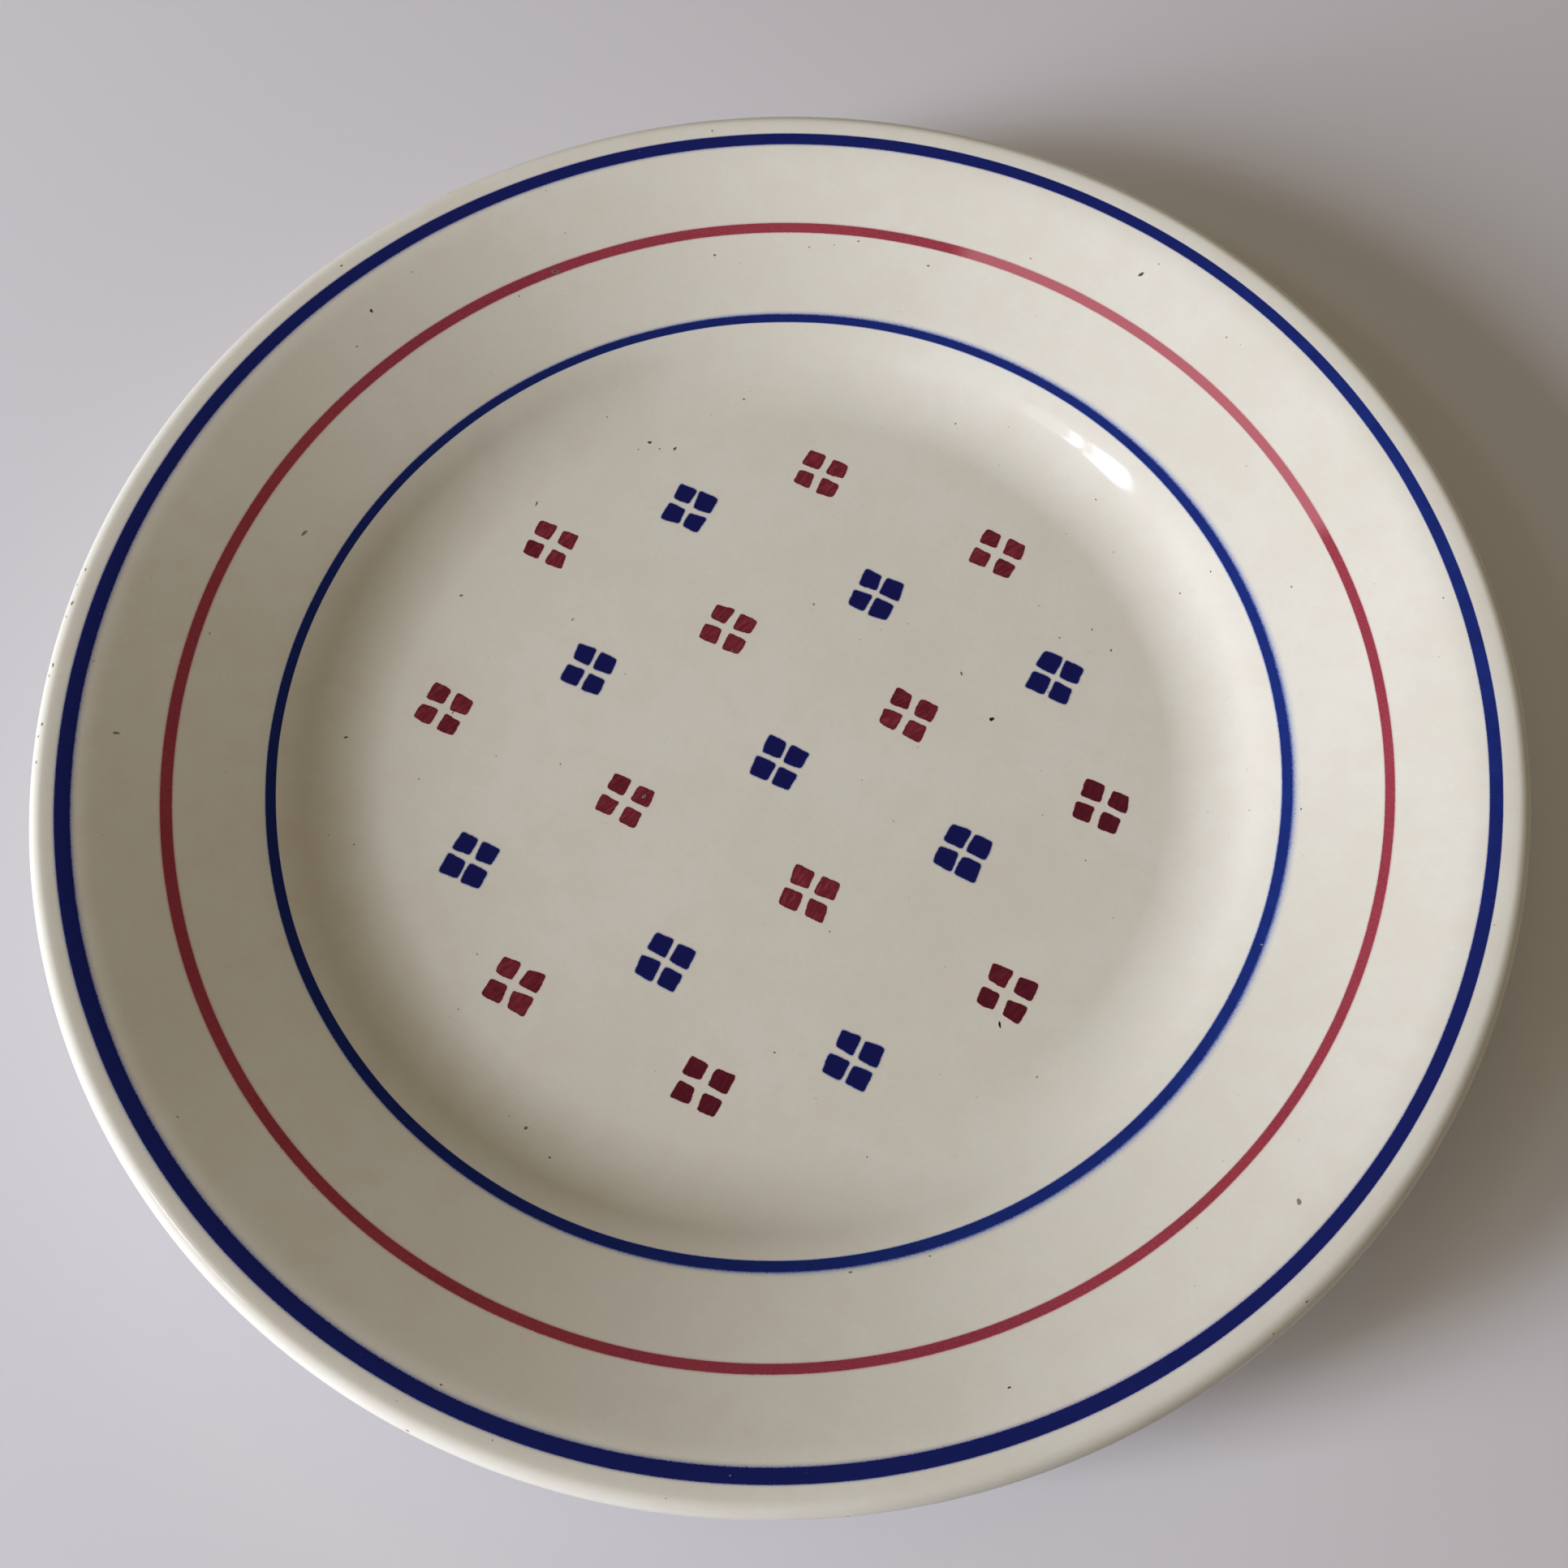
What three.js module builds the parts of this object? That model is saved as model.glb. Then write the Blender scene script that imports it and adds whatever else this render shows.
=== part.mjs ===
// A stencilled and banded earthenware dinner plate, in millimetres, +Z up.
// The foot ring's bare land lies on z = 0 and the plate's axis is Z. The rows of stencilled squares run along X.
import * as THREE from "three";

// ---- Overall sizes
const PLATE_RADIUS = 120;          // to the outside of the lip
const WELL_RADIUS = 66.4;          // edge of the flat well
const WELL_Z = 7;                  // glazed face of the well above the table
const RECESS_Z = 2.6;              // glazed face inside the foot ring
const BODY_THICKNESS = 4.5;        // rim and shoulder, face to underside
const SEGMENTS = 72;

// ---- Face: the well turns up into the shoulder, the shoulder eases into a straight sloping rim
const SHOULDER_WIDTH = 13.6;       // from the edge of the well to where the shoulder is steepest
const SHOULDER_ANGLE = 35;
const EASE_WIDTH = 7;              // from there to where the straight part of the rim starts
const RIM_ANGLE = 24.2;
const LIP_WIDTH = 10;              // from where the rim starts to flatten to the outside of the lip
const LIP_ANGLE = 8;               // heading of the face where the lip starts to roll over

// ---- Foot ring
const FOOT_RADIUS = 72;            // outer edge of the land that it stands on
const FOOT_LAND_WIDTH = 3.4;
const FOOT_FLARE = 1.6;            // how much further out, and further in, it reaches at its root
const FOOT_FILLET = 2.91;          // how far outside its root the underside starts to turn down into it
const FOOT_ROOT_DROP = 0.7;        // and how far it has come down at the root
const GLAZE_STOP_Z = 0.5;          // the glaze is wiped back this far from the table

// ---- Coats
const GLAZE = 0.3;                 // glaze coat
const COLOUR = 0.12;               // painted and stencilled colour
const BOND = 0.01;                 // line between two coats, so that they share no volume

// ---- Painted bands: [distance of the outer edge in from the outside of the lip, width]
const OUTER_BAND = [4.6, 2.3];
const RED_BAND = [19.3, 1.8];
const INNER_BAND = [34, 1.7];

// ---- Stencilled motifs: each is four rounded squares, two by two
const BLUE_COLUMNS = [-37, 1, 35.9];
const BLUE_ROWS = [35.7, -0.4, -40.1];
const RED_COLUMNS = [-55.7, -19.1, 16.5, 52.9];
const RED_ROWS = [52.9, 17.7, -18.7, -55.2];
const BLUE_STEP = [4.2, 4.45];     // centre to centre in one motif, across and up
const RED_STEP = [4.7, 4.3];
const BLUE_SQUARE = [3.5, 3.4];    // width, height
const RED_SQUARE = [3.35, 3.15];
const SQUARE_CORNER = 0.8;
const WEB_WIDTH = 0.36;            // the thread of colour that joins the four at the middle

const clayMaterial = { color: 0xd9cdb4, roughness: 0.85 };
const glazeMaterial = { color: 0xd6cfbf, roughness: 0.14 };
const blueMaterial = { color: 0x141c70, roughness: 0.2 };
const redMaterial = { color: 0x8e2236, roughness: 0.2 };

const rad = THREE.MathUtils.degToRad;
const part = new THREE.Group();

function add(name, geometry, material) {
  const mesh = new THREE.Mesh(geometry, new THREE.MeshStandardMaterial({ metalness: 0, ...material }));
  mesh.name = name;
  part.add(mesh);
}

// Goes on from the end of a path, whose heading is `from` degrees, along an arc that heads `to` degrees
// when it gets to `radius`.
function bend(path, from, to, radius, steps) {
  const [r0, z0] = path.at(-1);
  const size = (radius - r0) / (Math.sin(rad(to)) - Math.sin(rad(from)));
  for (let i = 1; i <= steps; i++) {
    const a = rad(from + ((to - from) * i) / steps);
    path.push([r0 + size * (Math.sin(a) - Math.sin(rad(from))), z0 + size * (Math.cos(rad(from)) - Math.cos(a))]);
  }
  return path;
}

// Goes on in a straight line that heads `angle` degrees until it gets to `radius`.
function straight(path, angle, radius) {
  const [r0, z0] = path.at(-1);
  path.push([radius, z0 + (radius - r0) * Math.tan(rad(angle))]);
  return path;
}

// The unit normal on the left of a path at point i.
function leftNormal(path, i) {
  const [ar, az] = path[Math.max(i - 1, 0)];
  const [br, bz] = path[Math.min(i + 1, path.length - 1)];
  const length = Math.hypot(br - ar, bz - az);
  return [-(bz - az) / length, (br - ar) / length];
}

// A path moved sideways by `distance`, to the left if it is positive. A point on the axis stays on it.
function offset(path, distance) {
  return path.map(([r, z], i) => {
    const [nr, nz] = r === 0 ? [0, leftNormal(path, i)[1]] : leftNormal(path, i);
    return [r + nr * distance, z + nz * distance];
  });
}

// A solid of revolution about Z from a profile of [radius, z] points that runs clockwise.
function turned(profile) {
  const points = profile.map(([r, z]) => new THREE.Vector2(r, z));
  return new THREE.LatheGeometry(points.reverse(), SEGMENTS).rotateX(Math.PI / 2);
}

// A coat between two offsets of a path; it closes on itself, or on the axis if the path has an end there.
function coat(path, low, high) {
  const top = offset(path, high);
  const base = offset(path, low).reverse();
  if (path[0][0] === 0) return turned([...top, ...base]);
  if (path.at(-1)[0] === 0) return turned([...base, ...top]);
  return turned([...top, ...base, top[0]]);
}

const shoulderRadius = WELL_RADIUS + SHOULDER_WIDTH;
const rimInnerRadius = shoulderRadius + EASE_WIDTH;
const rimOuterRadius = PLATE_RADIUS - LIP_WIDTH;
const footOuterRadius = FOOT_RADIUS + FOOT_FLARE;
const landInnerRadius = FOOT_RADIUS - FOOT_LAND_WIDTH;
const footInnerRadius = landInnerRadius - FOOT_FLARE;

// ---- The face, from the axis to the start of the lip, which is a part circle as thick as the body
const lipSize = BODY_THICKNESS / 2;
const lipRadius = PLATE_RADIUS - lipSize * (1 + Math.sin(rad(LIP_ANGLE)));
const face = [[0, WELL_Z], [WELL_RADIUS, WELL_Z]];
bend(face, 0, SHOULDER_ANGLE, shoulderRadius, 5);
bend(face, SHOULDER_ANGLE, RIM_ANGLE, rimInnerRadius, 3);
straight(face, RIM_ANGLE, rimOuterRadius);
bend(face, RIM_ANGLE, LIP_ANGLE, lipRadius, 3);

// The height at a radius of a path that runs outwards.
function heightOn(path, r) {
  const i = Math.max(path.findIndex(([radius]) => radius >= r), 1);
  const [[r0, z0], [r1, z1]] = [path[i - 1], path[i]];
  return z0 + ((z1 - z0) * (r - r0)) / (r1 - r0);
}

// The stretch of the face under a band.
function faceUnder([inset, width]) {
  const outer = PLATE_RADIUS - inset;
  const inner = outer - width;
  const between = face.filter(([r]) => r > inner && r < outer);
  return [[inner, heightOn(face, inner)], ...between, [outer, heightOn(face, outer)]];
}

// ---- The underside: the lip's part circle, then a line at one thickness from the face, down to the foot
const lipCentreZ = face.at(-1)[1] - lipSize * Math.cos(rad(LIP_ANGLE));
const LIP_STEPS = 7;
const lip = Array.from({ length: LIP_STEPS }, (_, i) => {
  const a = rad(90 + LIP_ANGLE - ((i + 1) * (180 + LIP_ANGLE - RIM_ANGLE)) / LIP_STEPS);
  return [PLATE_RADIUS - lipSize + lipSize * Math.cos(a), lipCentreZ + lipSize * Math.sin(a)];
});
const filletRadius = footOuterRadius + FOOT_FILLET;
const below = offset(face, -BODY_THICKNESS);
const underside = [
  [filletRadius, heightOn(below, filletRadius)],
  ...below.filter(([r]) => r > filletRadius && r < rimOuterRadius + 2),
].reverse();

// Everything that the outer coat of glaze covers, and the patch of glaze inside the foot ring
const glazed = [...face, ...lip, ...underside];
const wallShare = GLAZE_STOP_Z / underside.at(-1)[1];
glazed.push([footOuterRadius, underside.at(-1)[1] - FOOT_ROOT_DROP]);
glazed.push([FOOT_RADIUS + FOOT_FLARE * wallShare, GLAZE_STOP_Z]);
const recess = [
  [landInnerRadius - FOOT_FLARE * (GLAZE_STOP_Z / RECESS_Z), GLAZE_STOP_Z],
  [footInnerRadius + 0.3, RECESS_Z - 0.5],
  [footInnerRadius - 0.5, RECESS_Z],
  [0, RECESS_Z],
];

// ---- Solids
const clayOf = (path) => offset(path, -GLAZE - BOND);
const clay = [...clayOf(glazed), [FOOT_RADIUS - GLAZE, 0], [landInnerRadius + GLAZE, 0], ...clayOf(recess)];
add("clay_body", turned(clay), clayMaterial);
add("glaze_outer_coat", coat(glazed, -GLAZE, 0), glazeMaterial);
add("glaze_foot_recess", coat(recess, -GLAZE, 0), glazeMaterial);

for (const [name, band, material] of [
  ["outer_blue_band", OUTER_BAND, blueMaterial],
  ["red_band", RED_BAND, redMaterial],
  ["inner_blue_band", INNER_BAND, blueMaterial],
]) {
  add(name, coat(faceUnder(band), BOND, BOND + COLOUR), material);
}

// One closed outline around four rounded squares and the thread that joins them.
function fourSquares([width, height], [across, up]) {
  const shape = new THREE.Shape();
  const near = [(across - width) / 2, (up - height) / 2];
  const far = [(across + width) / 2, (up + height) / 2];
  const w = WEB_WIDTH / 2;
  const c = SQUARE_CORNER;
  const n = c * 0.4;
  const quarter = [
    [near[0] + n, near[1]],
    [far[0] - c, near[1]],
    [far[0] - c * 0.29, near[1] + c * 0.29],
    [far[0], near[1] + c],
    [far[0], far[1] - c],
    [far[0] - c * 0.29, far[1] - c * 0.29],
    [far[0] - c, far[1]],
    [near[0] + c, far[1]],
    [near[0] + c * 0.29, far[1] - c * 0.29],
    [near[0], far[1] - c],
    [near[0], near[1] + n],
  ];
  const turns = [[1, 1], [-1, 1], [-1, -1], [1, -1]];
  turns.forEach(([sx, sy], i) => {
    const side = sx * sy > 0 ? quarter : [...quarter].reverse();
    side.forEach(([x, y], k) => (i + k === 0 ? shape.moveTo(sx * x, sy * y) : shape.lineTo(sx * x, sy * y)));
    const crotch = [[0, w * 1.6], [-w * 1.6, 0], [0, -w * 1.6], [w * 1.6, 0]][i];
    shape.lineTo(...crotch);
  });
  shape.closePath();
  return new THREE.ExtrudeGeometry(shape, { depth: COLOUR, bevelEnabled: false, steps: 1 });
}

// The height of the facet of the turned face that lies under a point.
function facetHeight(x, y) {
  const facet = (2 * Math.PI) / SEGMENTS;
  const middle = (Math.floor(Math.atan2(y, x) / facet) + 0.5) * facet;
  return heightOn(face, (x * Math.cos(middle) + y * Math.sin(middle)) / Math.cos(facet / 2));
}

// Moves a flat motif to its place and lays it on the face.
function laidOnFace(geometry, x, y) {
  geometry.translate(x, y, 0);
  const at = geometry.getAttribute("position");
  for (let i = 0; i < at.count; i++) at.setZ(i, at.getZ(i) + facetHeight(at.getX(i), at.getY(i)) + BOND);
  return geometry;
}

// A grid of motifs, whose four corners may be left empty.
function motifs(prefix, columns, rows, square, step, material, cornersEmpty) {
  const atEnd = (list, k) => k === 0 || k === list.length - 1;
  rows.forEach((y, j) =>
    columns.forEach((x, i) => {
      if (cornersEmpty && atEnd(rows, j) && atEnd(columns, i)) return;
      add(`${prefix}_r${j + 1}_c${i + 1}`, laidOnFace(fourSquares(square, step), x, y), material);
    }),
  );
}
motifs("blue_squares", BLUE_COLUMNS, BLUE_ROWS, BLUE_SQUARE, BLUE_STEP, blueMaterial, false);
motifs("red_squares", RED_COLUMNS, RED_ROWS, RED_SQUARE, RED_STEP, redMaterial, true);

export default part;
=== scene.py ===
# %% [markdown]
# A stencilled earthenware dinner plate.
# The real one is a lump of white clay turned on a wheel, fired, painted with three rings and a
# grid of stencilled squares, dipped in clear glaze and fired again. The script works in the same
# order: body and glaze, rings, squares, the specks that the kiln leaves, and last the finishes,
# the light and the camera.

# %% Load the measured frame
import math

import bpy
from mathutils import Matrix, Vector


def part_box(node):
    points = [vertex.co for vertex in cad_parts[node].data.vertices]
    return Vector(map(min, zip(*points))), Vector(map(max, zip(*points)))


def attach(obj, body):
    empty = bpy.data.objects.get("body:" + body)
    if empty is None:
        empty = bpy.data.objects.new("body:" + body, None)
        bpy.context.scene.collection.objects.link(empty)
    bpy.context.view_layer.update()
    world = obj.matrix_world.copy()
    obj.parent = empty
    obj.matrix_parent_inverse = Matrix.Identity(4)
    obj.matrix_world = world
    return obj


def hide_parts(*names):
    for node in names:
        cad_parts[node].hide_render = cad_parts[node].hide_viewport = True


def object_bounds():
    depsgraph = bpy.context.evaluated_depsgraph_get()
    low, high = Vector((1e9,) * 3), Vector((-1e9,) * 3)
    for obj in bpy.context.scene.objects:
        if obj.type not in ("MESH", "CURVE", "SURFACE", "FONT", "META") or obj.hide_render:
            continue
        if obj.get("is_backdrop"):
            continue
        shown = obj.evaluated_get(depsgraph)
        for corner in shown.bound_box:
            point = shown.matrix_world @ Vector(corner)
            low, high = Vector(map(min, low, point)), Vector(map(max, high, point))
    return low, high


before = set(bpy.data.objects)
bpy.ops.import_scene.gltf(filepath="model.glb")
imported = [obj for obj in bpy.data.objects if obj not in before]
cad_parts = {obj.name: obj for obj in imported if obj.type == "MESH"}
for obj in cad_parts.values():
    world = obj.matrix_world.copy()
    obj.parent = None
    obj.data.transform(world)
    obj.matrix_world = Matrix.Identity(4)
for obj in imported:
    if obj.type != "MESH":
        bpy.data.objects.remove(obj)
cad_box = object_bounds()
print("measured nodes:", len(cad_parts))

# %% [markdown]
# Sizes are written in millimetres, as a potter would give them, and one constant turns them into
# Blender's metres. Colours are written as sRGB hex, as a colour chart gives them, and one function
# turns them into the linear values that a shader needs.

# %% Units and colours
MM = 0.001


def srgb(code):
    """An sRGB hex colour as linear RGBA."""
    parts = [int(code[i:i + 2], 16) / 255 for i in (0, 2, 4)]
    return [c / 12.92 if c <= 0.04045 else ((c + 0.055) / 1.055) ** 2.4 for c in parts] + [1.0]


# %% [markdown]
# Every node tree below is built with one small helper. It adds a node, applies its settings, and
# fills its inputs with plain values or links. Of a whole node, the first enabled output is linked.

# %% The node helper
def first_output(value):
    if isinstance(value, bpy.types.Node):
        return next(s for s in value.outputs if s.enabled)
    return value


def socket_of(node, key):
    if isinstance(key, int):
        return node.inputs[key]
    return next(s for s in node.inputs if s.name == key and s.enabled)


def put(tree, kind, fill=None, **settings):
    """Adds a node with its settings, and fills its inputs with values, sockets or nodes."""
    node = tree.nodes.new(kind)
    for key, value in settings.items():
        setattr(node, key, value)
    for key, value in (fill or {}).items():
        value = first_output(value)
        if isinstance(value, bpy.types.NodeSocket):
            tree.links.new(value, socket_of(node, key))
        else:
            socket_of(node, key).default_value = value
    return node


# %% [markdown]
# A few kinds of node come back again and again, and each has a short name: sums on numbers and on
# vectors, taking a vector apart and putting it together, and moving a value to another range.

# %% Short names for common nodes
def calc(tree, operation, *values):
    """A sum on numbers, sockets or nodes."""
    return put(tree, "ShaderNodeMath", dict(enumerate(values)), operation=operation)


def vector_calc(tree, operation, *values):
    """A sum on vectors, sockets or nodes."""
    return put(tree, "ShaderNodeVectorMath", dict(enumerate(values)), operation=operation)


def scaled(tree, vector, by):
    return put(tree, "ShaderNodeVectorMath", {0: vector, "Scale": by}, operation="SCALE")


def parts_of(tree, vector):
    return put(tree, "ShaderNodeSeparateXYZ", {"Vector": vector}).outputs


def vector_of(tree, x, y, z=0.0):
    return put(tree, "ShaderNodeCombineXYZ", {"X": x, "Y": y, "Z": z})


def remap(tree, value, from_min, from_max, to_min=0.0, to_max=1.0, **settings):
    """A value carried from one range to another and held at its ends."""
    return put(tree, "ShaderNodeMapRange", {
        "Value": value, "From Min": from_min, "From Max": from_max, "To Min": to_min,
        "To Max": to_max}, **settings)


# %% [markdown]
# A modifier tree needs doors: named inputs for sizes, and one geometry output. One helper opens
# them, and another runs a tree on a mesh and keeps the result as a plain mesh. An input is set by
# its socket's identifier, before the object is looked at for the first time.

# %% Opening and running a shape tree
WALL_EDGE = 40
SOCKETS = {"F": "NodeSocketFloat", "I": "NodeSocketInt", "V": "NodeSocketVector",
           "G": "NodeSocketGeometry", "M": "NodeSocketMaterial", "O": "NodeSocketObject"}


def open_tree(name, inputs):
    """A new geometry tree with the named inputs, and its group input node."""
    tree = bpy.data.node_groups.new(name, "GeometryNodeTree")
    for label, letter in inputs:
        tree.interface.new_socket(label, in_out="INPUT", socket_type=SOCKETS[letter])
    tree.interface.new_socket("Geometry", in_out="OUTPUT", socket_type=SOCKETS["G"])
    return tree, put(tree, "NodeGroupInput")


def close_tree(tree, geometry, material):
    """Makes instances real, gives the material, and sends the geometry out."""
    real = put(tree, "GeometryNodeRealizeInstances", {"Geometry": geometry})
    dressed = put(tree, "GeometryNodeSetMaterial", {"Geometry": real, "Material": material})
    put(tree, "NodeGroupOutput", {"Geometry": dressed})


def show(name, data):
    """An object that holds the data, linked to the scene."""
    piece = bpy.data.objects.new(name, data)
    bpy.context.scene.collection.objects.link(piece)
    return piece


def run_tree(tree, name, start_mesh, values, shell=0.0):
    """Runs a tree on a mesh, gives the sheet a wall if asked, and keeps a plain mesh object."""
    worker = show(name + "_worker", start_mesh)
    modifier = worker.modifiers.new("shape", "NODES")
    modifier.node_group = tree
    for item in tree.interface.items_tree:
        if item.in_out == "INPUT" and item.name in values:
            modifier[item.identifier] = values[item.name]
    if shell:
        wall = worker.modifiers.new("wall", "SOLIDIFY")
        wall.thickness = shell
        wall.offset = -1.0
    bpy.context.view_layer.update()
    shown = worker.evaluated_get(bpy.context.evaluated_depsgraph_get())
    mesh = bpy.data.meshes.new_from_object(shown)
    mesh.name = name
    if shell:
        mesh.set_sharp_from_angle(angle=math.radians(WALL_EDGE))
    bpy.data.objects.remove(worker)
    print(name, "faces:", len(mesh.polygons))
    return show(name, mesh)


# %% [markdown]
# A plate is a solid of revolution, so its whole shape is one outline. The face starts flat in the
# well, turns up into the shoulder along one arc, eases back along another, runs straight up the
# rim and flattens just before the lip. Each arc is fixed by its two slopes and the radius where
# it ends, which is how the measured part gives them too.

# %% The outline of the face
WELL_Z = 7.0
WELL_RADIUS = 66.4
SHOULDER_RADIUS, SHOULDER_ANGLE = 80.0, 35.0
RIM_INNER_RADIUS, RIM_OUTER_RADIUS, RIM_ANGLE = 87.0, 110.0, 24.2
LIP_ANGLE = 8.0
BODY_THICKNESS = 4.5
PLATE_RADIUS = (cad_box[1][0] - cad_box[0][0]) / 2 / MM
LIP_SIZE = BODY_THICKNESS / 2
LIP_RADIUS = PLATE_RADIUS - LIP_SIZE * (1 + math.sin(math.radians(LIP_ANGLE)))


def bend(path, start, end, radius, steps):
    """Goes on along an arc whose slope runs from start to end degrees by the given radius."""
    r0, z0 = path[-1]
    a0 = math.radians(start)
    size = (radius - r0) / (math.sin(math.radians(end)) - math.sin(a0))
    for i in range(1, steps + 1):
        a = a0 + math.radians(end - start) * i / steps
        path.append((r0 + size * (math.sin(a) - math.sin(a0)), z0 + size * (math.cos(a0) - math.cos(a))))


def run_to(path, radius, z, steps):
    """Goes on in a straight line to a point, in equal steps."""
    r0, z0 = path[-1]
    path += [(r0 + (radius - r0) * i / steps, z0 + (z - z0) * i / steps) for i in range(1, steps + 1)]


face = [(0.0, WELL_Z)]
run_to(face, WELL_RADIUS, WELL_Z, 26)
bend(face, 0, SHOULDER_ANGLE, SHOULDER_RADIUS, 22)
bend(face, SHOULDER_ANGLE, RIM_ANGLE, RIM_INNER_RADIUS, 10)
rim_rise = (RIM_OUTER_RADIUS - RIM_INNER_RADIUS) * math.tan(math.radians(RIM_ANGLE))
run_to(face, RIM_OUTER_RADIUS, face[-1][1] + rim_rise, 14)
bend(face, RIM_ANGLE, LIP_ANGLE, LIP_RADIUS, 12)
print("lip top at", round(face[-1][1], 2), "mm")

# %% [markdown]
# The lip is a part circle as thick as the body, and the underside keeps that thickness under the
# rim and the shoulder until it meets the foot ring. The foot ring stands on a narrow land where
# the glaze has been wiped off, so that the plate didn't stick to the kiln shelf.

# %% The outline of the lip, the underside and the foot
FOOT_OUTER, FOOT_LAND_OUTER, FOOT_LAND_INNER, FOOT_INNER = 73.6, 72.0, 68.6, 67.0
RECESS_Z = 2.6
GLAZE_STOP_Z = 0.5
GLAZE = 0.3
LIP_STEPS = 20
ROOT_DROP = 0.7
ROOT_CLEAR = 1.5


def shifted(path, distance):
    """A path moved to its left by a distance, with points on the axis kept there."""
    moved = []
    for i, (r, z) in enumerate(path):
        ahead, behind = path[min(i + 1, len(path) - 1)], path[max(i - 1, 0)]
        dr, dz = ahead[0] - behind[0], ahead[1] - behind[1]
        size = math.hypot(dr, dz)
        side = 0.0 if r == 0 else -dz / size
        moved.append((r + side * distance, z + dr / size * distance))
    return moved


lip_middle = (PLATE_RADIUS - LIP_SIZE, face[-1][1] - LIP_SIZE * math.cos(math.radians(LIP_ANGLE)))
lip = []
for i in range(1, LIP_STEPS + 1):
    a = math.radians(90 + LIP_ANGLE - (180 + LIP_ANGLE - RIM_ANGLE) * i / LIP_STEPS)
    lip.append((lip_middle[0] + LIP_SIZE * math.cos(a), lip_middle[1] + LIP_SIZE * math.sin(a)))
under = [p for p in shifted([q for q in face if q[0] > WELL_RADIUS], -BODY_THICKNESS)
         if FOOT_OUTER + ROOT_CLEAR < p[0] < RIM_OUTER_RADIUS + 2][::-1]
root = (FOOT_OUTER, under[-1][1] - ROOT_DROP)
glazed = face + lip + under
run_to(glazed, root[0] + 0.5, root[1] + 0.25, 3)
run_to(glazed, root[0], root[1] - 0.2, 2)
wall_share = GLAZE_STOP_Z / root[1]
run_to(glazed, FOOT_LAND_OUTER + (FOOT_OUTER - FOOT_LAND_OUTER) * wall_share, GLAZE_STOP_Z, 6)
recess = [(FOOT_LAND_INNER - (FOOT_LAND_INNER - FOOT_INNER) * GLAZE_STOP_Z / RECESS_Z, GLAZE_STOP_Z)]
run_to(recess, FOOT_INNER + 0.3, RECESS_Z - 0.5, 4)
run_to(recess, FOOT_INNER - 0.5, RECESS_Z, 3)
run_to(recess, 0.0, RECESS_Z, 20)
CLAY_GAP = 0.01
LAND_EDGE_UP, LAND_EDGE_IN = 0.12, 0.15
clay = shifted(glazed, -GLAZE - CLAY_GAP)
land = [(FOOT_LAND_OUTER - GLAZE, LAND_EDGE_UP), (FOOT_LAND_OUTER - GLAZE - LAND_EDGE_IN, 0.0),
        (FOOT_LAND_INNER + GLAZE + LAND_EDGE_IN, 0.0), (FOOT_LAND_INNER + GLAZE, LAND_EDGE_UP)]
clay += land + shifted(recess, -GLAZE - CLAY_GAP)

# %% [markdown]
# The wheel is a Geometry Nodes tree. It takes the outline as a chain of points and lays a flat grid
# over it: columns become angles and rows become points of the outline. The same tree settles the
# glaze, with a slow swell of a few hundredths of a millimetre that makes reflections wander as
# they do on real glaze.

# %% The wheel
WELD = 0.002 * MM
SOFT_EDGE = math.radians(50)
wheel, door = open_tree("turned_on_the_wheel", [
    ("Outline", "G"), ("Segments", "I"), ("Swell", "F"), ("Swell Size", "F"), ("Material", "M")])
ask = door.outputs
count = put(wheel, "GeometryNodeAttributeDomainSize", {
    "Geometry": ask["Outline"]}, component="MESH")
columns = calc(wheel, "ADD", ask["Segments"], 1.0)
grid = put(wheel, "GeometryNodeMeshGrid", {
    "Size X": 1.0, "Size Y": 1.0, "Vertices X": columns, "Vertices Y": count.outputs["Point Count"]})
place = put(wheel, "GeometryNodeInputPosition")
cell = parts_of(wheel, place)
last = calc(wheel, "SUBTRACT", count.outputs["Point Count"], 1.0)
share = calc(wheel, "ADD", cell["Y"], 0.5)
row = calc(wheel, "MULTIPLY", share, last)
row_index = put(wheel, "FunctionNodeFloatToInt", {"Float": row}, rounding_mode="ROUND")
point = put(wheel, "GeometryNodeSampleIndex", {
    "Geometry": ask["Outline"], "Value": place, "Index": row_index},
    data_type="FLOAT_VECTOR", domain="POINT")
on_outline = parts_of(wheel, point)
angle = calc(wheel, "MULTIPLY", cell["X"], -2 * math.pi)
across = calc(wheel, "COSINE", angle)
along = calc(wheel, "SINE", angle)
turned_x = calc(wheel, "MULTIPLY", on_outline["X"], across)
turned_y = calc(wheel, "MULTIPLY", on_outline["X"], along)
turned_place = vector_of(wheel, turned_x, turned_y, on_outline["Z"])
turned = put(wheel, "GeometryNodeSetPosition", {
    "Geometry": grid, "Position": turned_place})
joined = put(wheel, "GeometryNodeMergeByDistance", {"Geometry": turned, "Distance": WELD})
ripple_size = calc(wheel, "DIVIDE", 1.0, ask["Swell Size"])
ripple = put(wheel, "ShaderNodeTexNoise", {"Scale": ripple_size, "Detail": 1.0, "Roughness": 0.4})
ripple_mid = calc(wheel, "SUBTRACT", ripple.outputs[0], 0.5)
ripple_height = calc(wheel, "MULTIPLY", ripple_mid, ask["Swell"])
lift = scaled(wheel, put(wheel, "GeometryNodeInputNormal"), ripple_height)
settled = put(wheel, "GeometryNodeSetPosition", {"Geometry": joined, "Offset": lift})
crease = put(wheel, "GeometryNodeInputMeshEdgeAngle")
soft = put(wheel, "FunctionNodeCompare", {
    "A": crease.outputs["Unsigned Angle"], "B": SOFT_EDGE}, operation="LESS_THAN")
soft_edges = put(wheel, "GeometryNodeSetShadeSmooth", {
    "Geometry": settled, "Selection": soft}, domain="EDGE")
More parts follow.
